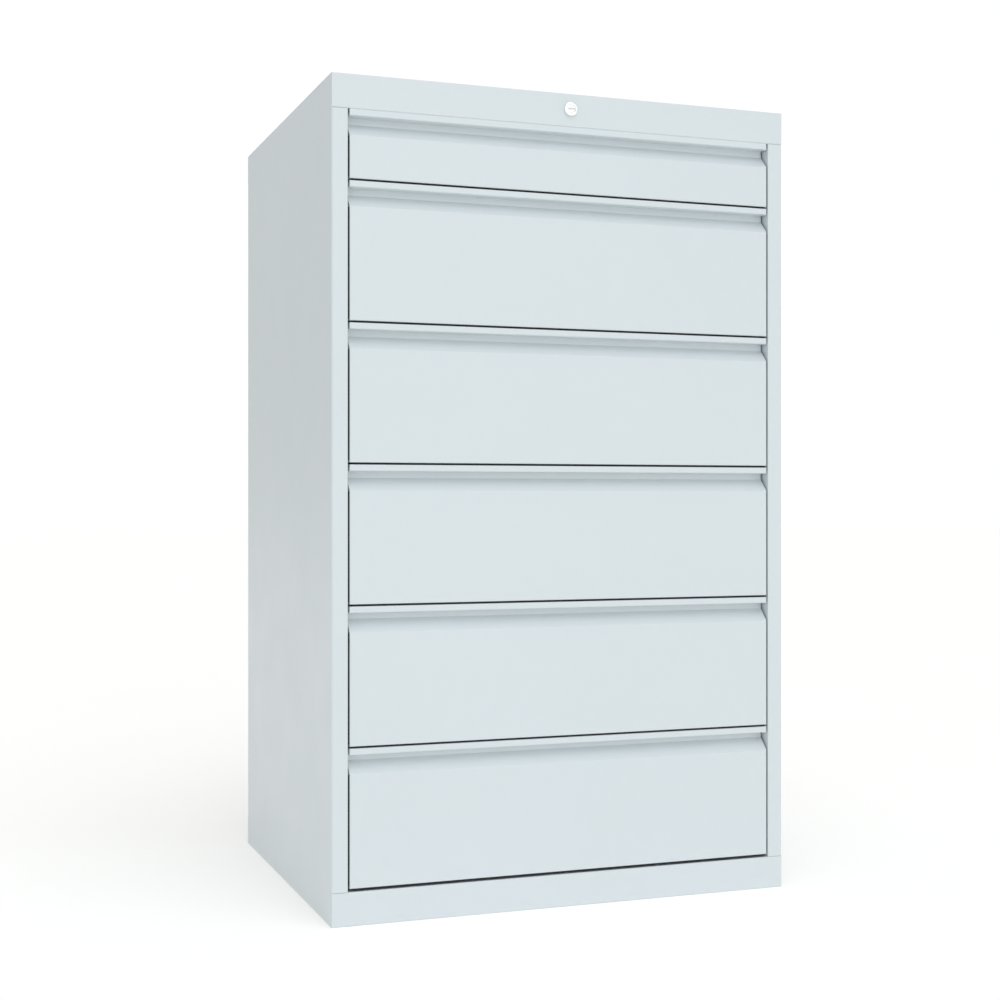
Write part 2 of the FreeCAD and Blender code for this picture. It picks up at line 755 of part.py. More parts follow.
def drawer_back(drawer, height):
    """Back of a drawer, flanged all round, with the catch that the lock bar holds."""
    body = new_body(f"drawer_back_{drawer}", f"bottom_{drawer}")
    across = "tray_half - tray_gauge"
    low, high = "tray_lift + tray_gauge", f"{height} - tray_drop - tray_gauge"
    block = rectangle(f"-({across})", across, low, high)
    sweep(body, "block", "y", [block], "tray_end - back_fold", "tray_end")
    corners = [(f"-({across})", low), (across, low)]
    round_edges(body, "corners", "tray_bend", y=corners)
    shell(body, "sheet", "tray_gauge", FORWARD)
    catch = [
        ("tray_end", "catch_height"),
        ("catch_end", "catch_height"),
        ("catch_end", "catch_height - catch_lip"),
        ("catch_end - catch_gauge", "catch_height - catch_lip"),
        ("catch_end - catch_gauge", "catch_height - catch_gauge"),
        ("tray_end", "catch_height - catch_gauge"),
    ]
    sweep(body, "catch", "x", [catch], "-bar_centre - catch_width / 2", "-bar_centre + catch_width / 2")


def lock_housing():
    """Round rim on the cornice with the barrel behind it, bored for the plug."""
    body = new_body("lock_housing")
    sweep(body, "rim", "y", [Ring("lock_across", "lock_level", "rim_radius")], "-rim_thickness", "0")
    sweep(body, "barrel", "y", [Ring("lock_across", "lock_level", "barrel_radius")], "0", "barrel_length")
    bore = [Ring("lock_across", "lock_level", "plug_radius + plug_fit")]
    cut(body, "bore", "y", bore, "-rim_thickness - seam", "barrel_length + seam")
    round_rim(body, "rim_edge", "rim_edge", "-rim_thickness")


def lock_nut():
    """Hexagon nut that draws the housing against the cornice."""
    body = new_body("lock_nut")
    apothem = "nut_flats / 2"
    half_side = "nut_flats / 2 / sqrt(3)"
    corner = "nut_flats / sqrt(3)"
    hexagon = [
        (f"lock_across + {half_side}", f"lock_level + {apothem}"),
        (f"lock_across - {half_side}", f"lock_level + {apothem}"),
        (f"lock_across - {corner}", "lock_level"),
        (f"lock_across - {half_side}", f"lock_level - {apothem}"),
        (f"lock_across + {half_side}", f"lock_level - {apothem}"),
        (f"lock_across + {corner}", "lock_level"),
    ]
    sweep(body, "hexagon", "y", [hexagon], "sheet_gauge", "sheet_gauge + nut_thickness")
    hole = [Ring("lock_across", "lock_level", "barrel_radius + thread_fit")]
    cut(body, "thread", "y", hole, "sheet_gauge - seam", "sheet_gauge + nut_thickness + seam")


def lock_plug():
    """Plug that the key turns, with its slot level while the drawers are free."""
    body = new_body("lock_plug")
    face = "-rim_thickness + plug_recess"
    sweep(body, "plug", "y", [Ring("lock_across", "lock_level", "plug_radius")], face, "plug_length")
    round_rim(body, "plug_edge", "plug_edge", face)
    slot = rectangle("lock_across - key_width / 2", "lock_across + key_width / 2",
                     "lock_level - key_height / 2", "lock_level + key_height / 2")
    cut(body, "key_slot", "y", [slot], f"{face} - seam", f"{face} + key_depth")


def lock_rod():
    """Rod from the plug to the back, ending in a disc with the crank pin."""
    body = new_body("lock_rod")
    sweep(body, "rod", "y", [Ring("lock_across", "lock_level", "rod_radius")], "plug_length", "crank_front")
    disc = [Ring("lock_across", "lock_level", "crank_disc_radius")]
    sweep(body, "disc", "y", disc, "crank_front", "crank_back")
    pin = [Ring("lock_across - crank_offset", "lock_level - crank_offset", "crank_pin_radius")]
    sweep(body, "pin", "y", pin, "crank_back", "bar_back + crank_pin_play")


def rod_bearing():
    """Bracket that hangs under the top and carries the rear end of the rod."""
    body = new_body("rod_bearing")
    high = "cabinet_height - sheet_gauge"
    low = "lock_level - bearing_width / 2"
    front = "bearing_back - bearing_gauge"
    profile = [
        ("bearing_back", low),
        ("bearing_back", high),
        ("bearing_back - bearing_foot", high),
        ("bearing_back - bearing_foot", f"{high} - bearing_gauge"),
        (front, f"{high} - bearing_gauge"),
        (front, low),
    ]
    left, right = "lock_across - bearing_width / 2", "lock_across + bearing_width / 2"
    sweep(body, "angle", "x", [profile], left, right)
    hole = [Ring("lock_across", "lock_level", "rod_radius + plug_fit")]
    cut(body, "hole", "y", hole, f"{front} - seam", "bearing_back + seam")


def lock_bar():
    """Bar that the crank lifts, with a finger for each drawer's catch."""
    body = new_body("lock_bar")
    left, right = "-bar_centre - bar_width / 2", "-bar_centre + bar_width / 2"
    top = "lock_level - crank_offset + crank_pin_radius + bar_end"
    low = "lowest_front + finger_under - finger_gauge - bar_end"
    sweep(body, "bar", "y", [rectangle(left, right, low, top)], "bar_front", "bar_back")
    slot_half = "(crank_radius - crank_offset) / 2 + crank_pin_radius + crank_pin_play"
    slot_rise = "crank_pin_radius + crank_pin_play"
    pin_level = "lock_level - crank_offset"
    slot = rectangle(f"-bar_centre - ({slot_half})", f"-bar_centre + ({slot_half})",
                     f"{pin_level} - ({slot_rise})", f"{pin_level} + ({slot_rise})")
    cut(body, "crank_slot", "y", [slot], "bar_front - seam", "bar_back + seam")
    under = "lowest_front + finger_under"
    finger = [
        ("bar_front", under),
        ("finger_front + finger_gauge", under),
        ("finger_front + finger_gauge", "lowest_front + finger_top"),
        ("finger_front", "lowest_front + finger_top"),
        ("finger_front", f"{under} - finger_gauge"),
        ("bar_front", f"{under} - finger_gauge"),
    ]
    fingers = sweep(body, "finger", "x", [finger], "-bar_centre - finger_width / 2",
                    "-bar_centre + finger_width / 2")
    row(body, "fingers", [fingers], "drawer_pitch", DRAWERS)


def bar_guides():
    """Clips on the back panel that keep the lock bar upright, one between each two fingers."""
    body = new_body("bar_guides")
    inside = "(bar_width / 2 + guide_play)"
    outside = f"({inside} + guide_gauge)"
    grip = "(bar_width / 2 - guide_grip)"
    lip = "bar_front - guide_play"
    face = f"{lip} - guide_gauge"
    right = [
        (outside, "back_inside"),
        (outside, face),
        (grip, face),
        (grip, lip),
        (inside, lip),
        (inside, "back_inside - guide_gauge"),
    ]
    outline = [(f"-bar_centre + {across}", depth) for across, depth in right]
    outline += [(f"-bar_centre - {across}", depth) for across, depth in reversed(right)]
    level = "lowest_front + finger_under + drawer_pitch / 2"
    clip = sweep(body, "clip", "z", [outline], level, f"{level} + guide_height")
    row(body, "clips", [clip], "drawer_pitch", STACK)


def make_carcass():
    """The fixed pieces."""
    for name, side in (("side_panel_left", -1), ("side_panel_right", 1)):
        side_panel(name, side)
    top_panel()
    lock_rail()
    plinth("plinth_front", False)
    plinth("plinth_rear", True)
    base_panel()
    back_panel()
    back_rivets()
    for side_name, side in (("left", -1), ("right", 1)):
        upright(f"upright_front_{side_name}", side, "front_upright")
        upright(f"upright_rear_{side_name}", side, "rear_upright")
    levelling_feet()
    foot_brackets()
    slide_screws()


def make_lock():
    """The lock and what it moves."""
    lock_housing()
    lock_nut()
    lock_plug()
    lock_rod()
    rod_bearing()
    lock_bar()
    bar_guides()


def make_drawers():
    """Every drawer with its slides, from the top down."""
    for drawer in range(1, DRAWERS + 1):
        height = "small_front_height" if drawer == 1 else "large_front_height"
        drawer_front(drawer, height)
        drawer_tray(drawer, height)
        drawer_back(drawer, height)
        slide_outer(drawer)
        slide_member(f"slide_mid_{drawer}", drawer, "mid_start", "outer_reach", "mid_half", True)
        slide_member(f"slide_inner_{drawer}", drawer, "slide_thickness", "inner_start", "inner_half_height",
                     False)


def check_document():
    """Stops if any object failed, or any sub-part has no valid solid."""
    for item in doc.Objects:
        if {"Invalid", "Error"} & set(item.State):
            raise ValueError(f"{item.Name}: {item.State}")
    for body in bodies():
        if body.Shape.isNull() or not body.Shape.isValid() or not body.Shape.Solids:
            raise ValueError(f"{body.Label}: no valid solid")


def bodies():
    """Every sub-part."""
    return [item for item in doc.Objects if item.TypeId == "PartDesign::Body"]


def main():
    make_carcass()
    make_lock()
    make_drawers()
    doc.recompute()
    check_document()
    os.makedirs("parts", exist_ok=True)
    for body in bodies():
        body.Shape.exportStep(f"parts/{body.Label}.step")


main()
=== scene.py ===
"""Looks of the drawer cabinet: finishes, small fittings, studio and camera. Metres, in the row frame."""

import json
import math

import bmesh
import bpy
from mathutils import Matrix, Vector


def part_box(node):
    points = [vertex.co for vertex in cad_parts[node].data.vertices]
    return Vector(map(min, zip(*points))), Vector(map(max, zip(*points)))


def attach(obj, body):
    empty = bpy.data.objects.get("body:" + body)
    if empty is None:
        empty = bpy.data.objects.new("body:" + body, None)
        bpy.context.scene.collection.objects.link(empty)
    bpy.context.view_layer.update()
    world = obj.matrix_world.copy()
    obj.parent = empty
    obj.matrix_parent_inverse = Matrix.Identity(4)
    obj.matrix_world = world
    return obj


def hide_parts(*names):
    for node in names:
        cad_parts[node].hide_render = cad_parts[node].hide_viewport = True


DRAWERS = range(1, 7)
SIDES = (-1, 1)

# Finishes, as linear colours
PAINT = (0.655, 0.708, 0.733)
PAINT_INSIDE = (0.635, 0.687, 0.708)
SCUFF = (0.420, 0.410, 0.390)
ZINC = (0.640, 0.650, 0.660)
YELLOWED_ZINC = (0.70, 0.66, 0.50)
NICKEL = (0.930, 0.950, 0.940)
ALUMINIUM = (0.760, 0.770, 0.780)
STEEL_BALLS = (0.700, 0.710, 0.720)
# Dark rubber of the pads and levers, also the dark that paints the shade in the gaps round the drawer fronts
DARK_RUBBER_AND_GAP_SHADE = (0.010, 0.0115, 0.0125)
DUST = (0.16, 0.155, 0.15)
FLOOR = (0.985, 0.980, 0.965)

# Camera, worked out from the photograph's perspective
CAMERA_PLACE = (-0.9875, -2.7183, 0.650)
CAMERA_YAW = math.radians(-20.0)
CAMERA_LENS = 58.25
SENSOR_WIDTH = 36.0
CLIP_END = 100.0

# Studio: light from all round, the white behind and in reflections, and where that white starts and is full
# as a direction turns to the front
SURROUNDINGS = (0.598, 0.606, 0.594)
BACKDROP = (1.02, 1.02, 1.02)
WHITE_FROM, WHITE_TO = -0.3, -0.8

# Floor: its faint glow, its side, and how far it lies under the feet
FLOOR_GLOW = (0.162, 0.152, 0.148)
FLOOR_SIZE = 60.0
FLOOR_DROP = 0.0001

# Lamps: direction, spread in degrees, and light on a face square to it
LIGHTS = {
    "front_high": ((0.0, -0.50, 0.86), 60.0, (0.284, 0.296, 0.314)),
    "front_level": ((-0.05, -0.98, 0.17), 40.0, (0.124, 0.132, 0.136)),
}

# Colour sockets of the mix node
MIX_FIRST, MIX_SECOND, MIX_RESULT = 6, 7, 2

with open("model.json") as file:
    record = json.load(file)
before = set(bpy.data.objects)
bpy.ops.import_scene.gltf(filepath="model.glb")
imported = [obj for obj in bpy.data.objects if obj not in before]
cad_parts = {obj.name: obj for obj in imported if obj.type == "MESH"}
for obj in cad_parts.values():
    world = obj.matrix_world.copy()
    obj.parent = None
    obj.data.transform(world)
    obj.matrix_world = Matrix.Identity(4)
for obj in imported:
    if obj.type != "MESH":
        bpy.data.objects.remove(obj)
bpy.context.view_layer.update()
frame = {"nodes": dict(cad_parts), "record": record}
nodes = frame["nodes"]
FRONT_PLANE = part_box("drawer_front_1")[0].y


def drawer_bottom(drawer):
    """Level of the bottom edge of a drawer's front."""
    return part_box(f"drawer_front_{drawer}")[0].z


# Edge masks: samples of the rounded direction, and its cosine to the face's own where a mask is full and
# where it ends
EDGE_SAMPLES = 4
EDGE_FULL, EDGE_NONE = 0.70, 0.98


class Finish:
    """A material whose colour, roughness and bump come from nodes in the object's own coordinates."""

    def __init__(self, name, color, metallic=0.0):
        self.material = bpy.data.materials.new(name)
        self.material.use_nodes = True
        self.tree = self.material.node_tree
        self.shader = self.tree.nodes["Principled BSDF"]
        self.shader.inputs["Metallic"].default_value = metallic
        self.place = self.node("ShaderNodeTexCoord").outputs["Object"]
        self.color = (*color, 1.0)
        self.normal = None

    def node(self, kind, **settings):
        """A new node with these attributes."""
        made = self.tree.nodes.new(kind)
        for key, value in settings.items():
            setattr(made, key, value)
        return made

    def link(self, output, target):
        self.tree.links.new(output, target)

    def noise(self, cells, detail=2.0, stretch=(1.0, 1.0, 1.0)):
        """Noise with so many cells to the metre, drawn out along an axis by a small stretch number."""
        mapping = self.node("ShaderNodeMapping")
        mapping.inputs["Scale"].default_value = [cells * part for part in stretch]
        self.link(self.place, mapping.inputs["Vector"])
        noise = self.node("ShaderNodeTexNoise")
        noise.inputs["Scale"].default_value = 1.0
        noise.inputs["Detail"].default_value = detail
        self.link(mapping.outputs["Vector"], noise.inputs["Vector"])
        return noise.outputs["Fac"]

    def spread(self, value, low, high, start=0.3, end=0.7):
        """Maps a value between start and end to the range from low to high."""
        spread = self.node("ShaderNodeMapRange")
        self.link(value, spread.inputs["Value"])
        for key, number in (("From Min", start), ("From Max", end), ("To Min", low), ("To Max", high)):
            spread.inputs[key].default_value = number
        return spread.outputs["Result"]

    def product(self, first, second):
        """Two values multiplied."""
        product = self.node("ShaderNodeMath", operation="MULTIPLY")
        self.link(first, product.inputs[0])
        self.link(second, product.inputs[1])
        return product.outputs[0]

    def tint(self, factor, color):
        """Mixes another colour into the base colour by a factor."""
        mix = self.node("ShaderNodeMix", data_type="RGBA")
        self.link(factor, mix.inputs["Factor"])
        if isinstance(self.color, tuple):
            mix.inputs[MIX_FIRST].default_value = self.color
        else:
            self.link(self.color, mix.inputs[MIX_FIRST])
        mix.inputs[MIX_SECOND].default_value = (*color, 1.0)
        self.color = mix.outputs[MIX_RESULT]

    def bump(self, height, depth, strength):
        """Adds a relief of that depth in metres."""
        bump = self.node("ShaderNodeBump")
        bump.inputs["Strength"].default_value = strength
        bump.inputs["Distance"].default_value = depth
        self.link(height, bump.inputs["Height"])
        if self.normal is not None:
            self.link(self.normal, bump.inputs["Normal"])
        self.normal = bump.outputs["Normal"]

    def edges(self, radius):
        """A mask that is 1 on the cut edges of a sheet and 0 on its faces and rounded bends."""
        bevel = self.node("ShaderNodeBevel", samples=EDGE_SAMPLES)
        bevel.inputs["Radius"].default_value = radius
        flat = self.node("ShaderNodeNewGeometry").outputs["Normal"]
        dot = self.node("ShaderNodeVectorMath", operation="DOT_PRODUCT")
        self.link(bevel.outputs["Normal"], dot.inputs[0])
        self.link(flat, dot.inputs[1])
        return self.spread(dot.outputs["Value"], 1.0, 0.0, EDGE_FULL, EDGE_NONE)

    def height(self):
        """Level above the floor."""
        split = self.node("ShaderNodeSeparateXYZ")
        self.link(self.place, split.inputs[0])
        return split.outputs["Z"]

    def finish(self, roughness):
        """Joins what was built to the shader."""
        if isinstance(self.color, tuple):
            self.shader.inputs["Base Color"].default_value = self.color
        else:
            self.link(self.color, self.shader.inputs["Base Color"])
        self.link(roughness, self.shader.inputs["Roughness"])
        if self.normal is not None:
            self.link(self.normal, self.shader.inputs["Normal"])
        return self.material


def shade(color, factor):
    """A colour made lighter or darker."""
    return tuple(min(1.0, part * factor) for part in color)


def powder_coat(name, color, scuffed):
    """Satin powder coat: orange peel, waves of the sheet, thinner paint on cut edges, scuffs low down."""
    paint = Finish(name, color)
    clouds = paint.spread(paint.noise(2.3, detail=3.0), low=0.0, high=1.0)
    paint.tint(clouds, shade(color, 0.982))
    mottling = paint.spread(paint.noise(60.0), low=0.0, high=0.25, start=0.45, end=0.75)
    paint.tint(mottling, shade(color, 1.015))
    thinning = paint.spread(paint.noise(35.0, detail=3.0), low=0.1, high=0.5)
    paint.tint(paint.product(paint.edges(radius=0.0007), thinning), shade(color, 1.06))
    if scuffed:
        near_floor = paint.spread(paint.height(), low=1.0, high=0.0, start=0.002, end=0.045)
        streaks = paint.noise(60.0, detail=4.0, stretch=(0.25, 0.25, 1.0))
        marks = paint.spread(streaks, low=0.0, high=0.10, start=0.58, end=0.74)
        paint.tint(paint.product(near_floor, marks), SCUFF)
    sheet_waves, orange_peel = paint.noise(2.6, detail=1.0), paint.noise(420.0)
    paint.bump(sheet_waves, depth=0.0012, strength=0.35)
    paint.bump(orange_peel, depth=0.00006, strength=0.30)
    paint.shader.inputs["Coat Weight"].default_value = 0.12
    paint.shader.inputs["Coat Roughness"].default_value = 0.28
    return paint.finish(paint.spread(paint.noise(11.0, detail=3.0), low=0.36, high=0.47))


def zinc_plate(name):
    """Bright zinc on rolled steel: cloudy patches, fine rolling lines along the depth, lighter cut edges."""
    zinc = Finish(name, ZINC, metallic=1.0)
    zinc.tint(zinc.spread(zinc.noise(24.0, detail=4.0), low=0.0, high=0.8), shade(ZINC, 0.86))
    zinc.tint(zinc.spread(zinc.noise(9.0), low=0.0, high=0.18), YELLOWED_ZINC)
    zinc.tint(zinc.edges(radius=0.0005), shade(ZINC, 1.15))
    zinc.bump(zinc.noise(1400.0, stretch=(1.0, 0.02, 1.0)), depth=0.00003, strength=0.35)
    return zinc.finish(zinc.spread(zinc.noise(90.0, detail=3.0), low=0.27, high=0.44))


def bright_nickel(name):
    """Polished nickel plate with fine grain and cloudy wear."""
    nickel = Finish(name, NICKEL, metallic=1.0)
    nickel.tint(nickel.spread(nickel.noise(160.0, detail=3.0), low=0.0, high=0.5), shade(NICKEL, 0.94))
    nickel.bump(nickel.noise(2500.0), depth=0.00001, strength=0.25)
    return nickel.finish(nickel.spread(nickel.noise(400.0, detail=4.0), low=0.10, high=0.24))


def plain_aluminium(name):
    """Aluminium as pressed, slightly dull."""
    metal = Finish(name, ALUMINIUM, metallic=1.0)
    metal.tint(metal.spread(metal.noise(300.0, detail=3.0), low=0.0, high=0.6), shade(ALUMINIUM, 0.85))
    metal.bump(metal.noise(1500.0), depth=0.00002, strength=0.3)
    return metal.finish(metal.spread(metal.noise(200.0, detail=3.0), low=0.30, high=0.48))


def rubber_and_gap_shade(name, dust, gloss):
    """Dark moulded rubber or plastic with a fine grain and some dust; on the gap strips, the dark that
    paints the shade in the gaps.
    """
    rubber = Finish(name, DARK_RUBBER_AND_GAP_SHADE)
    rubber.tint(rubber.spread(rubber.noise(90.0, detail=4.0), low=0.0, high=dust), DUST)
    rubber.bump(rubber.noise(1800.0), depth=0.00004, strength=0.5)
    rubber.shader.inputs["Specular IOR Level"].default_value = gloss
    return rubber.finish(rubber.spread(rubber.noise(150.0, detail=3.0), low=0.52, high=0.72))


def hardened_steel(name):
    """Ground bearing steel of the balls."""
    steel = Finish(name, STEEL_BALLS, metallic=1.0)
    steel.tint(steel.spread(steel.noise(500.0, detail=3.0), low=0.0, high=0.5), shade(STEEL_BALLS, 0.8))
    return steel.finish(steel.spread(steel.noise(800.0), low=0.08, high=0.2))


MATERIALS = {
    "painted_steel": powder_coat("painted_steel", PAINT, scuffed=True),
    "painted_inside": powder_coat("painted_inside", PAINT_INSIDE, scuffed=False),
    "zinc_steel": zinc_plate("zinc_steel"),
    "lock_nickel": bright_nickel("lock_nickel"),
    "rivet_aluminium": plain_aluminium("rivet_aluminium"),
    "foot_rubber": rubber_and_gap_shade("foot_rubber", dust=0.30, gloss=0.5),
}
BALL_STEEL = hardened_steel("ball_steel")
# Dark finish of the strips that paint the shade in the gaps round the drawer fronts
GAP_SHADE_RUBBER = rubber_and_gap_shade("gap_shade_rubber", dust=0.01, gloss=0.2)

# Folds gentler than this many degrees are shaded smooth
SMOOTH_FOLD = 35


def smooth(obj, degrees=SMOOTH_FOLD):
    """Smooth shading across folds gentler than an angle."""
    obj.data.shade_smooth()
    obj.data.set_sharp_from_angle(angle=math.radians(degrees))


def dress(obj, material):
    """Gives an object one material."""
    obj.data.materials.clear()
    obj.data.materials.append(material)


for part in frame["record"]["subparts"]:
    dress(nodes[part["node"]], MATERIALS[part["material_slot"]])
    smooth(nodes[part["node"]])


def flats_reach(radius, angle, flats):
    """Distance to the flat of a nut whose corners are at the radius."""
    return radius * math.cos(math.pi / flats) / math.cos(angle)


# Facets of a ball round its axis and along it
BALL_AROUND, BALL_ALONG = 12, 7


class Shape:
    """Collects points and faces of a piece, then makes an object of them."""

    def __init__(self):
        self.points = []
        self.faces = []

    def add(self, points, faces):
        """Adds points and the faces between them, which count from the first of these points."""
        start = len(self.points)
        self.points += points
        self.faces += [[start + index for index in face] for face in faces]

    def loft(self, rings, closed=False):
        """Joins rings of points, one after another; capped at both ends unless the last meets the first."""
        count = len(rings[0])
        last = len(rings) - 1
        faces = []
        for lower in range(last + 1 if closed else last):
            upper = 0 if lower == last else lower + 1
            for index in range(count):
                after = (index + 1) % count
                faces.append((lower * count + index, lower * count + after,
                              upper * count + after, upper * count + index))
        if not closed:
            faces.append(range(count - 1, -1, -1))
            faces.append(range(last * count, last * count + count))
        self.add([tuple(point) for ring in rings for point in ring], faces)

    def lathe(self, centre, axis, profile, segments=48, closed=False, flats=0):
        """Turns a profile of (along the axis, radius) about an axis through the centre."""
        axis = Vector(axis).normalized()
        side = axis.orthogonal().normalized()
        other = axis.cross(side)
        rays = []
        for step in range(segments):
            angle = math.tau * step / segments
            part = (angle + math.pi / flats) % (math.tau / flats) - math.pi / flats if flats else None
            rays.append((side * math.cos(angle) + other * math.sin(angle), part))
        rings = []
        for along, radius in profile:
            middle = Vector(centre) + axis * along
            ring = []
            for ray, part in rays:
                reach = radius if part is None else min(radius, flats_reach(radius, part, flats))
                ring.append(middle + ray * reach)
            rings.append(ring)
        self.loft(rings, closed)

    def block(self, low, high):
        """A box between two corners."""
        self.loft([[(low[0], low[1], level), (high[0], low[1], level), (high[0], high[1], level),
                    (low[0], high[1], level)] for level in (low[2], high[2])])

    def ball(self, centre, radius):
        """A ball."""
        angles = [math.pi * (step + 0.5) / BALL_ALONG for step in range(BALL_ALONG)]
        profile = [(-radius * math.cos(angle), radius * math.sin(angle)) for angle in angles]
        self.lathe(centre, (1, 0, 0), profile, BALL_AROUND)

    def copy(self, other, place):
        """Adds another shape, moved to a place."""
        moved = [(point[0] + place[0], point[1] + place[1], point[2] + place[2]) for point in other.points]
        self.add(moved, other.faces)

    def piece(self, name, body, slot, material=None, replaces=(), degrees=SMOOTH_FOLD):
        """Ends the shape as a named piece that rides on a body."""
        data = bpy.data.meshes.new(name)
        data.from_pydata(self.points, [], self.faces)
        mesh = bmesh.new()
        mesh.from_mesh(data)
        bmesh.ops.recalc_face_normals(mesh, faces=mesh.faces)
        mesh.to_mesh(data)
        mesh.free()
        obj = bpy.data.objects.new(name, data)
        bpy.context.scene.collection.objects.link(obj)
        dress(obj, material or MATERIALS[slot])
        smooth(obj, degrees)
        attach(obj, body)
        if replaces:
            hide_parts(*replaces)
        return obj


def scaled(profile, factor):
    """A profile made larger or smaller."""
    return [(along * factor, radius * factor) for along, radius in profile]


# Telescopic slides: level above a front's bottom edge, then gauges and balls. In each cage, web and balls_in
# are measured in from the uprights, race up and down from the middle, start and end from the front plane
SLIDE_CENTRE = 0.045
INNER_GAUGE = 0.0012
CAGE_GAUGE = 0.0005
BALL_RADIUS = 0.0018
BALL_PITCH = 0.015
OUTER_CAGE = {"web": 0.0018, "balls_in": 0.0060, "race": 0.01945, "start": 0.370, "end": 0.574}
INNER_CAGE = {"web": 0.0046, "balls_in": 0.0075, "race": 0.01455, "start": 0.046, "end": 0.314}


def slide_level(drawer):
    """Level of the middle of a drawer's slides."""
    return drawer_bottom(drawer) + SLIDE_CENTRE


def inner_web(drawer):
    """Distance from the cabinet's middle to the inner members' webs, on their channel side."""
    return -(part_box(f"slide_inner_{drawer}")[0].x + INNER_GAUGE)


def ball_cages(drawer):
    """Ball cages between the members of both slides: a folded strip with a row of balls in each race."""
    wall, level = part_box(f"slide_outer_{drawer}")[1].x, slide_level(drawer)
    strips, balls, ball = Shape(), Shape(), Shape()
    ball.ball((0.0, 0.0, 0.0), BALL_RADIUS)
    for cage in (OUTER_CAGE, INNER_CAGE):
        start, end = FRONT_PLANE + cage["start"], FRONT_PLANE + cage["end"]
        race = cage["race"]
        for side in SIDES:
            near = wall - cage["web"]
            far = wall - cage["balls_in"] - BALL_RADIUS
            across = sorted((side * near, side * (near - CAGE_GAUGE)))
            strips.block((across[0], start, level - race), (across[1], end, level + race))
            across = sorted((side * near, side * far))
            for up in (-race, race):
                strips.block((across[0], start, level + up - CAGE_GAUGE / 2),
                             (across[1], end, level + up + CAGE_GAUGE / 2))
                for step in range(int((end - start) / BALL_PITCH)):
                    along = start + (step + 0.5) * BALL_PITCH
                    balls.copy(ball, (side * (wall - cage["balls_in"]), along, level + up))
    body = f"mid_slides_{drawer}"
    strips.piece(f"ball_cages_{drawer}", body, "zinc_steel")
    balls.piece(f"slide_balls_{drawer}", body, "zinc_steel", BALL_STEEL, degrees=80)


# Screws: the head's profile from its seat, its size inside the tray, and places from the front plane along
# the slides and from the middle across the inner front
PAN_HEAD = [(0.0, 0.0040), (0.0004, 0.0042), (0.0012, 0.0040), (0.0018, 0.0032), (0.0020, 0.0020),
            (0.0019, 0.0014), (0.0009, 0.0010), (0.0008, 0.0001)]
SCREW_SEGMENTS = 24
TRAY_SCREW_SIZE = 0.8
TRAY_GAUGE = 0.0010
SLIDE_SCREWS = (0.062, 0.330, 0.598)
FRONT_SCREWS = (-0.300, -0.110, 0.110, 0.300)


def drawer_fasteners(drawer):
    """Screws that hold the inner slide members and the front, seen inside the tray and in the channel."""
    level, web = slide_level(drawer), inner_web(drawer)
    tray_low, tray_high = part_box(f"drawer_tray_{drawer}")
    shape = Shape()
    for along in SLIDE_SCREWS:
        for side in SIDES:
            place = FRONT_PLANE + along
            shape.lathe((side * (tray_high.x - TRAY_GAUGE), place, level), (-side, 0, 0),
                        scaled(PAN_HEAD, TRAY_SCREW_SIZE), SCREW_SEGMENTS)
            shape.lathe((side * web, place, level), (side, 0, 0), PAN_HEAD, SCREW_SEGMENTS)
    middle = (tray_low.z + tray_high.z) / 2
    for across in FRONT_SCREWS:
        shape.lathe((across, tray_low.y + TRAY_GAUGE, middle), (0, 1, 0), PAN_HEAD, SCREW_SEGMENTS)
    shape.piece(f"drawer_screws_{drawer}", f"drawer_{drawer}", "zinc_steel")


# Release levers: outline as (depth, height) from the front plane and the slide's middle, and the layers that
# make one, as (distance from the web, how far the outline is drawn in)
LEVER_OUTLINE = [(0.225, -0.0035), (0.228, -0.0050), (0.262, -0.0050), (0.270, -0.0015), (0.306, 0.0015),
                 (0.310, 0.0045), (0.308, 0.0070), (0.300, 0.0080), (0.262, 0.0050), (0.236, 0.0048),
                 (0.227, 0.0030)]
LEVER_LAYERS = ((0.0002, 0.0), (0.0034, 0.0), (0.0040, 0.0006))


def release_levers(drawer):
    """Levers in the channels of the inner members, which let the drawer be lifted out."""
    level, web = slide_level(drawer), inner_web(drawer)
    middle = Vector([sum(numbers) for numbers in zip(*LEVER_OUTLINE)]) / len(LEVER_OUTLINE)
    shape = Shape()
    for side in SIDES:
        rings = []
        for reach, inset in LEVER_LAYERS:
            ring = []
            for corner in LEVER_OUTLINE:
                point = Vector(corner)
                point -= (point - middle).normalized() * inset
                ring.append((side * (web + reach), FRONT_PLANE + point[0], level + point[1]))
            rings.append(ring)
        shape.loft(rings)
    shape.piece(f"release_levers_{drawer}", f"drawer_{drawer}", "foot_rubber")


# Dark strips round a drawer's front, which paint the shade in the gaps round it: depths behind the front
# plane, thicknesses, gaps at their ends, and how far below the front's top edge the side strips stop, under
# the finger recess; the right strip sits deeper, so that the right gap's painted shade is lighter
BOTTOM_SHADE_STRIP_DEPTH = 0.0022
BOTTOM_SHADE_STRIP_THICK = 0.0020
SIDE_SHADE_STRIP_DEPTHS = {-1: 0.0030, 1: 0.0060}
SIDE_SHADE_STRIP_THICK = 0.0015
SHADE_STRIP_END_GAP = 0.003
SHADE_STRIP_TOP_GAP = 0.041

# Section of a shade strip from its start: where the bead is full, where it starts to end and ends, where the
# strip behind it ends, and the strip's gauge
BEAD_FULL, BEAD_BACK, BEAD_END = 0.0004, 0.0024, 0.0028
STRIP_END = 0.0070
STRIP_GAUGE = 0.0003


def shade_strip_section(start, thick):
    """Outline of a painted-shade strip as (depth, height): a bead and the thin strip behind it."""
    return [(start, 0.0), (start, STRIP_GAUGE), (start + BEAD_FULL, thick), (start + BEAD_BACK, thick),
            (start + BEAD_END, STRIP_GAUGE), (start + STRIP_END, STRIP_GAUGE), (start + STRIP_END, 0.0)]


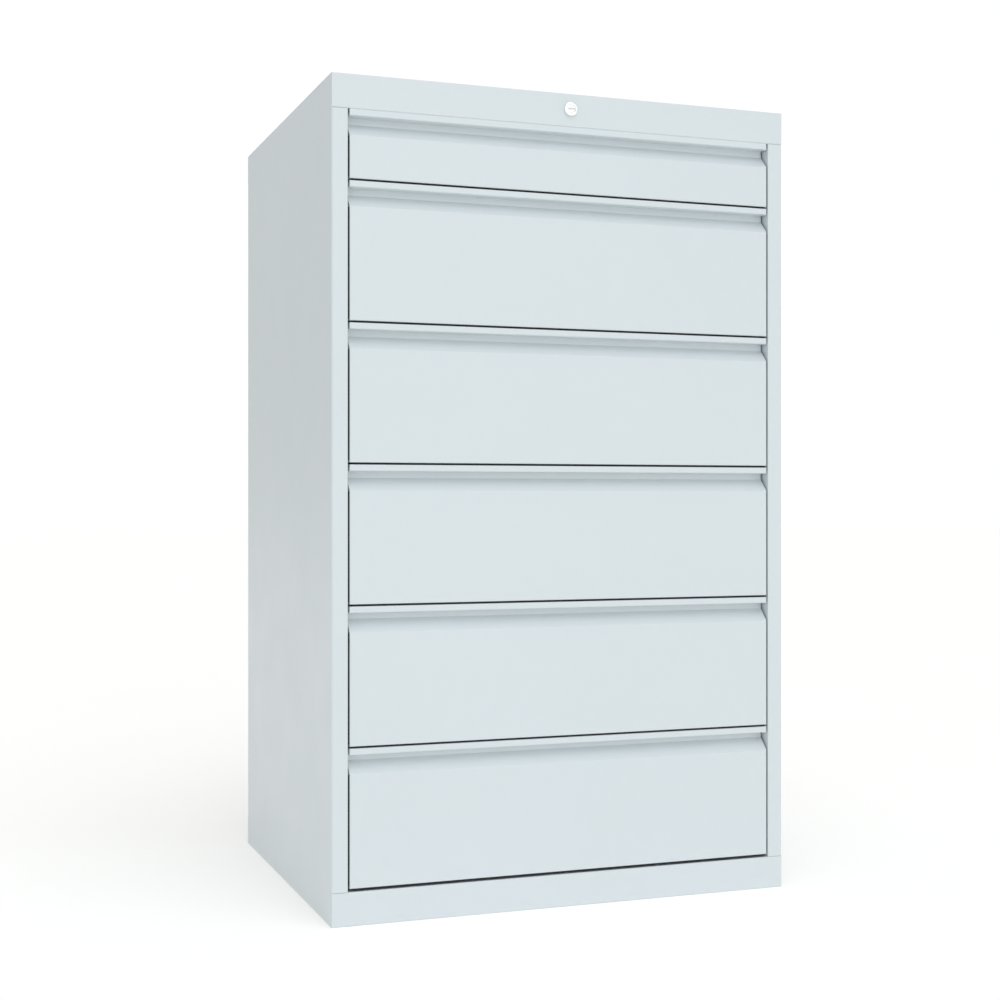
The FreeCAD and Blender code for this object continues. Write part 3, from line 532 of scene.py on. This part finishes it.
def front_gap_shade_strips(drawer):
    """Dark rubber strips under a drawer's front and on both its sides, which paint the shade in the gaps
    round it.
    """
    low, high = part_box(f"drawer_front_{drawer}")
    shape = Shape()
    bottom = shade_strip_section(BOTTOM_SHADE_STRIP_DEPTH, BOTTOM_SHADE_STRIP_THICK)
    shape.loft([[(across, low.y + depth, low.z - out) for depth, out in bottom]
                for across in (low.x + SHADE_STRIP_END_GAP, high.x - SHADE_STRIP_END_GAP)])
    for side, edge in ((-1, low.x), (1, high.x)):
        section = shade_strip_section(SIDE_SHADE_STRIP_DEPTHS[side], SIDE_SHADE_STRIP_THICK)
        shape.loft([[(edge + side * out, low.y + depth, level) for depth, out in section]
                    for level in (low.z + SHADE_STRIP_END_GAP, high.z - SHADE_STRIP_TOP_GAP)])
    shape.piece(f"front_gap_shade_strips_{drawer}", f"drawer_{drawer}", "foot_rubber", GAP_SHADE_RUBBER)


# Pale strip that fills the seam under the top band, painting that seam's shade lighter: section as (depth,
# height) from the front plane and the first front's top edge, its nose first, and the gap at each end
SEAM_LIGHTENING_SECTION = [(0.00055, -0.00045), (0.00050, 0.0), (0.00062, 0.00045), (0.0010, 0.00042),
                  (0.0018, 0.0003), (0.0100, 0.0003), (0.0100, 0.0), (0.0018, 0.0), (0.0011, -0.0001)]
SEAM_LIGHTENING_END_GAP = 0.001


def seam_lightening_strip():
    """Pale strip on the first drawer's rounded top edge, which fills the seam under the top band: painted
    light in place of the seam's shade.
    """
    low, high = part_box("drawer_front_1")
    shape = Shape()
    shape.loft([[(across, low.y + depth, high.z + up) for depth, up in SEAM_LIGHTENING_SECTION]
                for across in (low.x + SEAM_LIGHTENING_END_GAP, high.x - SEAM_LIGHTENING_END_GAP)])
    shape.piece("seam_lightening_strip", "drawer_1", "painted_steel")


# Blind rivets: rows down the back, radius and height of the head, and the profile from the tail inside,
# outwards from the sheet's face, to the mandrel's hole
RIVET_ROWS = 6
RIVET_RADIUS = 0.00475
RIVET_HEIGHT = 0.0014
RIVET_SEGMENTS = 40
RIVET = [(-0.0040, 0.0012), (-0.0039, 0.0024), (-0.0034, 0.0031), (-0.0028, 0.0032), (-0.0020, 0.0026),
         (-0.0019, 0.0024), (-0.0001, 0.0024), (0.0, RIVET_RADIUS), (0.0004, 0.0047), (0.0009, 0.0041),
         (0.0012, 0.0031), (0.00135, 0.0021), (RIVET_HEIGHT, 0.0016), (0.0013, 0.0013), (0.0003, 0.0011),
         (0.0002, 0.0001)]


def back_rivets():
    """Blind rivets: a domed head with the mandrel's hole, the shank, and the tail inside."""
    low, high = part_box("back_rivets")
    bottom, span = low.z + RIVET_RADIUS, high.z - low.z - 2 * RIVET_RADIUS
    shape = Shape()
    for across in (low.x + RIVET_RADIUS, high.x - RIVET_RADIUS):
        for step in range(RIVET_ROWS):
            level = bottom + step * span / (RIVET_ROWS - 1)
            shape.lathe((across, high.y - RIVET_HEIGHT, level), (0, 1, 0), RIVET, RIVET_SEGMENTS)
    shape.piece("rivets_domed", "carcass", "rivet_aluminium", replaces=["back_rivets"])


# The flat top of a thread's ridge, as parts of its pitch
CREST_START, CREST_END = 0.4, 0.6


def thread(start, end, crest, root, pitch):
    """Profile of a screw thread as even ridges along a rod."""
    profile = []
    for step in range(int((end - start) / pitch)):
        base = start + step * pitch
        profile += [(base, root), (base + pitch * CREST_START, crest), (base + pitch * CREST_END, crest)]
    return profile + [(end, root)]


# Levelling feet: radius and profile of the pad, profile of the jam nut and its place under the bracket's
# shelf, the smaller hexagon on the pad, and the stud's end in the pad and thread
FOOT_RADIUS = 0.015
PAD = [(0.0, 0.0128), (0.0003, 0.0136), (0.0012, 0.0146), (0.0024, 0.0150), (0.0038, 0.0150),
       (0.0050, 0.0145), (0.0058, 0.0132), (0.0060, 0.0110), (0.0060, 0.0052)]
PAD_SEGMENTS = 64
NUT = [(0.0, 0.0084), (0.0004, 0.0098), (0.0046, 0.0098), (0.0050, 0.0084)]
NUT_SEGMENTS = 72
NUT_FLATS = 6
NUT_DROP = 0.0052
BRACKET_SHELF = 0.020
HEXAGON_LEVEL = 0.0058
HEXAGON_SIZE = 0.82
STUD_END = (0.0061, 0.0020)
STUD_THREAD = {"start": 0.0095, "crest": 0.0049, "root": 0.0043, "pitch": 0.0015}
STUD_SEGMENTS = 32


def levelling_feet():
    """Moulded pads with a hexagon to turn them by, threaded studs and jam nuts under the brackets."""
    low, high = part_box("levelling_feet")
    reach = (high.x - low.x) / 2 - FOOT_RADIUS
    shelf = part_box("foot_brackets")[0].z + BRACKET_SHELF
    stud = [STUD_END] + thread(end=high.z, **STUD_THREAD)
    up = (0, 0, 1)
    pads, studs = Shape(), Shape()
    for across in (-reach, reach):
        for depth in (low.y + FOOT_RADIUS, high.y - FOOT_RADIUS):
            pads.lathe((across, depth, 0.0), up, PAD, PAD_SEGMENTS)
            studs.lathe((across, depth, HEXAGON_LEVEL), up, scaled(NUT, HEXAGON_SIZE), NUT_SEGMENTS,
                        flats=NUT_FLATS)
            studs.lathe((across, depth, 0.0), up, stud, STUD_SEGMENTS)
            studs.lathe((across, depth, shelf - NUT_DROP), up, NUT, NUT_SEGMENTS, flats=NUT_FLATS)
    pads.piece("foot_pads", "carcass", "foot_rubber", replaces=["levelling_feet"])
    studs.piece("foot_studs", "carcass", "zinc_steel")


# Lock housing: how far its rim stands out, the rounding of its edge in steps of some degrees, its face from
# the bore outwards with a fine groove, its bevelled back, and the barrel behind it
RIM_REACH = 0.0040
RIM_EDGE = 0.0012
RIM_STEPS, RIM_STEP = 7, 15
RIM_FACE = [(-0.0036, 0.0066), (-RIM_REACH, 0.0070), (-RIM_REACH, 0.0088), (-0.00385, 0.0090),
            (-RIM_REACH, 0.0092)]
RIM_BACK = (-0.0001, 0.0)
RIM_BEVEL = 0.0003
BARREL_THREAD = {"start": 0.0002, "end": 0.026, "crest": 0.0090, "root": 0.0085, "pitch": 0.0010}
BARREL_BORE = 0.0066
RIM_SEGMENTS = 96


def lock_housing():
    """Turned rim with a rounded edge and a fine groove, and the threaded barrel behind it."""
    low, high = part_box("lock_housing")
    centre = ((low.x + high.x) / 2, FRONT_PLANE, (low.z + high.z) / 2)
    rim = (high.x - low.x) / 2
    profile = list(RIM_FACE)
    for step in range(RIM_STEPS):
        angle = math.radians(step * RIM_STEP)
        profile.append((-RIM_REACH + RIM_EDGE * (1 - math.cos(angle)),
                        rim - RIM_EDGE * (1 - math.sin(angle))))
    profile += [(RIM_BACK[0], rim), (RIM_BACK[1], rim - RIM_BEVEL)]
    profile += thread(**BARREL_THREAD)
    profile.append((BARREL_THREAD["end"], BARREL_BORE))
    shape = Shape()
    shape.lathe(centre, (0, 1, 0), profile, RIM_SEGMENTS, closed=True)
    shape.piece("lock_rim", "carcass", "lock_nickel", replaces=["lock_housing"], degrees=30)


# Inside the lock: half the flaps' width, their depth behind the plug's face, their heights, and the profile
# of the clip from the bearing's rear face
FLAP_REACH = 0.0054
FLAP_FRONT, FLAP_BACK = 0.0007, 0.0012
FLAPS = ((-0.00118, -0.00004), (0.00004, 0.00118))
CLIP = [(0.0002, 0.0040), (0.0002, 0.0064), (0.0003, 0.0066), (0.0009, 0.0066), (0.0010, 0.0064),
        (0.0010, 0.0040)]


def lock_details():
    """Shutter flaps inside the key slot, and the clip that keeps the rod in its bearing."""
    low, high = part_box("lock_plug")
    across, level = (low.x + high.x) / 2, (low.z + high.z) / 2
    shutter = Shape()
    for down, up in FLAPS:
        shutter.block((across - FLAP_REACH, low.y + FLAP_FRONT, level + down),
                      (across + FLAP_REACH, low.y + FLAP_BACK, level + up))
    shutter.piece("lock_shutter", "lock_core", "zinc_steel")
    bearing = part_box("rod_bearing")[1].y
    ring = Shape()
    ring.lathe((across, bearing, level), (0, 1, 0), CLIP, closed=True)
    ring.piece("rod_clip", "lock_core", "zinc_steel")


def make_fittings():
    """Everything that is added to the solids or stands for them."""
    for drawer in DRAWERS:
        ball_cages(drawer)
        drawer_fasteners(drawer)
        release_levers(drawer)
        front_gap_shade_strips(drawer)
    seam_lightening_strip()
    back_rivets()
    levelling_feet()
    lock_housing()
    lock_details()


def make_floor():
    """Pale studio floor with a faint glow."""
    bpy.ops.mesh.primitive_plane_add(size=FLOOR_SIZE, location=(0.0, 0.0, -FLOOR_DROP))
    floor = bpy.context.object
    floor.name = "studio_floor"
    paper = Finish("studio_floor", FLOOR)
    paper.tint(paper.spread(paper.noise(1.5), low=0.0, high=1.0), shade(FLOOR, 0.99))
    paper.shader.inputs["Specular IOR Level"].default_value = 0.1
    paper.shader.inputs["Emission Color"].default_value = (*FLOOR_GLOW, 1.0)
    paper.shader.inputs["Emission Strength"].default_value = 1.0
    dress(floor, paper.finish(paper.spread(paper.noise(3.0), low=0.85, high=0.95)))


def soft_light(name, towards, spread, color):
    """Distant soft light from a direction; a white face square to it comes out in its colour."""
    light = bpy.data.lights.new(name, "SUN")
    light.energy = math.pi
    light.color = color
    light.angle = math.radians(spread)
    obj = bpy.data.objects.new(name, light)
    bpy.context.scene.collection.objects.link(obj)
    obj.rotation_euler = Vector(towards).to_track_quat("Z", "Y").to_euler()


def make_studio():
    """Even pale surroundings, white in front in reflections, and soft light from high and level in front."""
    world = bpy.data.worlds.new("studio")
    bpy.context.scene.world = world
    world.use_nodes = True
    tree = world.node_tree
    place = tree.nodes.new("ShaderNodeSeparateXYZ")
    tree.links.new(tree.nodes.new("ShaderNodeTexCoord").outputs["Generated"], place.inputs[0])
    in_front = tree.nodes.new("ShaderNodeMapRange")
    in_front.inputs["From Min"].default_value = WHITE_FROM
    in_front.inputs["From Max"].default_value = WHITE_TO
    tree.links.new(place.outputs["Y"], in_front.inputs["Value"])
    rays = tree.nodes.new("ShaderNodeLightPath")
    reflected = tree.nodes.new("ShaderNodeMath")
    reflected.operation = "MULTIPLY"
    tree.links.new(rays.outputs["Is Glossy Ray"], reflected.inputs[0])
    tree.links.new(in_front.outputs["Result"], reflected.inputs[1])
    white = tree.nodes.new("ShaderNodeMath")
    white.operation = "MAXIMUM"
    tree.links.new(rays.outputs["Is Camera Ray"], white.inputs[0])
    tree.links.new(reflected.outputs[0], white.inputs[1])
    color = tree.nodes.new("ShaderNodeMix")
    color.data_type = "RGBA"
    color.inputs[MIX_FIRST].default_value = (*SURROUNDINGS, 1.0)
    color.inputs[MIX_SECOND].default_value = (*BACKDROP, 1.0)
    tree.links.new(white.outputs[0], color.inputs["Factor"])
    tree.links.new(color.outputs[MIX_RESULT], tree.nodes["Background"].inputs["Color"])
    for name, light in LIGHTS.items():
        soft_light(name, *light)
    make_floor()


def make_camera():
    """The photograph's camera: level, at the cabinet's mid-height, in front of its left side."""
    data = bpy.data.cameras.new("camera")
    data.lens = CAMERA_LENS
    data.sensor_width = SENSOR_WIDTH
    data.clip_end = CLIP_END
    camera = bpy.data.objects.new("camera", data)
    bpy.context.scene.collection.objects.link(camera)
    camera.location = CAMERA_PLACE
    camera.rotation_euler = (math.pi / 2, 0.0, CAMERA_YAW)
    bpy.context.scene.camera = camera
    bpy.context.scene.view_settings.view_transform = "Standard"


make_camera()
make_studio()
make_fittings()
